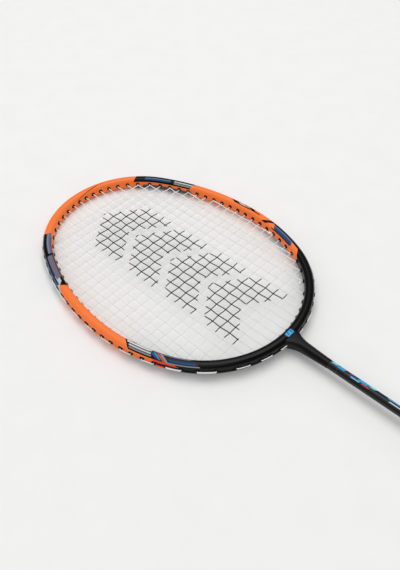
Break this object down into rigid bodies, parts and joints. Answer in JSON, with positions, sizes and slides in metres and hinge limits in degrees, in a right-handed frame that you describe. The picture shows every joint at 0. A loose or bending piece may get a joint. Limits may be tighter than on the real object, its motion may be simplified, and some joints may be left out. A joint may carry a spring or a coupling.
{
  "type": "badminton racket",
  "caption": "Strung badminton racket with an oval head, slim round shaft, throat cone and eight-sided wrapped grip.",
  "frame": {"origin": "centre of the butt cap's end face", "axes": "+Y along the racket to the head's tip, +Z square to the string bed, +X across the head"},
  "size_m": [0.195, 0.6765, 0.03],
  "materials": {
    "frame_paint": "gloss orange lacquer over laminate",
    "joint_metal": "machined",
    "throat_black": "semi-gloss lacquer",
    "badge_blue": "gloss",
    "shaft_laminate": "semi-gloss lacquer over laminate",
    "grommet_black": "moulded",
    "string_white": "satin multifilament",
    "core_wood": "sanded",
    "cap_plastic": "moulded satin",
    "underlay_foam": "closed-cell foam",
    "grip_wrap": "tacky perforated wrap",
    "fastener_steel": "bright",
    "closing_tape": "satin tape",
    "badge_silver": "satin"
  },
  "bodies": {
    "root": {"head_tube": "frame_paint", "t_joint": "joint_metal", "throat_cone": "throat_black", "throat_badge": "badge_blue", "shaft": "shaft_laminate", "top_grommets": "grommet_black", "throat_grommets": "grommet_black", "left_grommets": "grommet_black", "right_grommets": "grommet_black", "shared_grommets": "grommet_black", "main_string": "string_white", "cross_string": "string_white", "string_knots": "string_white", "handle_core": "core_wood", "cone_cap": "cap_plastic", "grip_underlay": "underlay_foam", "grip_wrap": "grip_wrap", "grip_tack": "fastener_steel", "closing_tape": "closing_tape", "butt_cap": "cap_plastic", "butt_badge": "badge_silver", "cap_nails": "fastener_steel"}
  },
  "joints": []
}
